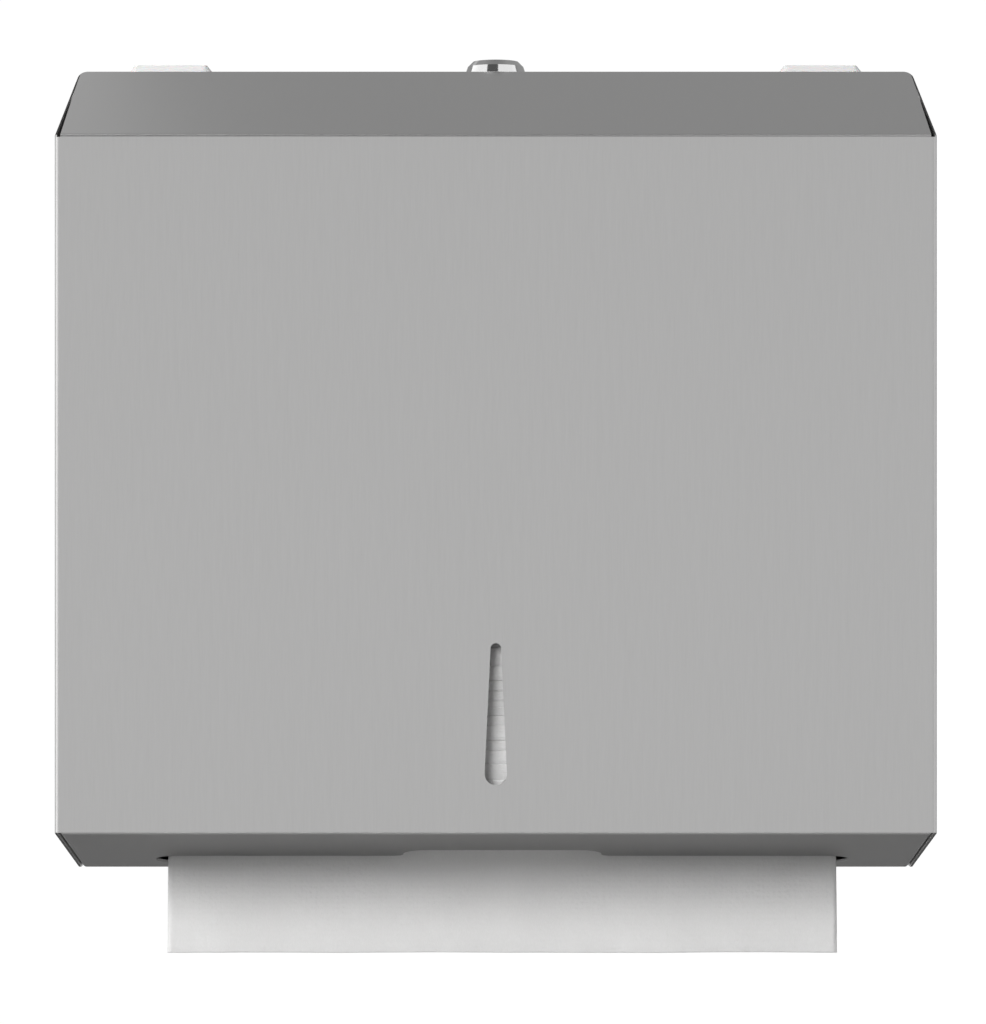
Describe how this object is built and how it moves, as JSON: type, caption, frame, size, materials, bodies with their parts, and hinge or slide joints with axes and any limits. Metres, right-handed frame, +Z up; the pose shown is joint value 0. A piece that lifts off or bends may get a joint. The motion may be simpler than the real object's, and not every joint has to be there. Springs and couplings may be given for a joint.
{
  "type": "paper towel dispenser",
  "caption": "Wall cabinet of brushed stainless sheet for folded paper towels: hinged front cover with a lock on top, sight slot, and a notched slot underneath with a towel hanging out.",
  "frame": {"origin": "centre of the four wall holes, on the wall's plane", "axes": "+Z up, +Y into the wall, so the cover faces -Y, and +X to the right of a person who faces it"},
  "size_m": [0.284, 0.102, 0.3028],
  "materials": {
    "cover_steel": "brushed stainless, fine vertical grain on the front",
    "body_steel": "brushed stainless, dull inside",
    "plated_steel": "zinc plated steel",
    "lock_chrome": "bright chrome plate",
    "buffer_nylon": "white moulded nylon, satin",
    "bush_nylon": "natural nylon",
    "towel_paper": "white embossed towel paper"
  },
  "bodies": {
    "base": {"back_plate": "body_steel", "body_pan": "body_steel", "towel_guide_right": "body_steel", "towel_guide_left": "body_steel", "pivot_bush_right": "bush_nylon", "pivot_bush_left": "bush_nylon", "lock_strike": "plated_steel", "towel_stack": "towel_paper"},
    "cover": {"front_cover": "cover_steel", "pivot_stud_right": "plated_steel", "pivot_stud_left": "plated_steel", "pivot_clip_right": "plated_steel", "pivot_clip_left": "plated_steel", "cover_buffer_right": "buffer_nylon", "cover_buffer_left": "buffer_nylon", "lock_backing": "body_steel", "lock_housing": "lock_chrome", "lock_washer": "plated_steel", "lock_nut": "plated_steel"},
    "lock": {"lock_plug": "lock_chrome", "lock_cam": "plated_steel", "cam_screw": "plated_steel"},
    "towel": {"hanging_towel": "towel_paper"}
  },
  "joints": [
    {"name": "door_swing", "type": "hinge", "parent": "base", "child": "cover", "pos_m": [0, -0.092, -0.11359], "axis": [1, 0, 0], "range_deg": [0, 92]},
    {"name": "lock_turn", "type": "hinge", "parent": "cover", "child": "lock", "pos_m": [0, -0.0165, 0.12], "axis": [0, 0, -1], "range_deg": [0, 90]},
    {"name": "towel_pull", "type": "slide", "parent": "base", "child": "towel", "axis": [0, 0, -1], "range_m": [0, 0.03]}
  ]
}
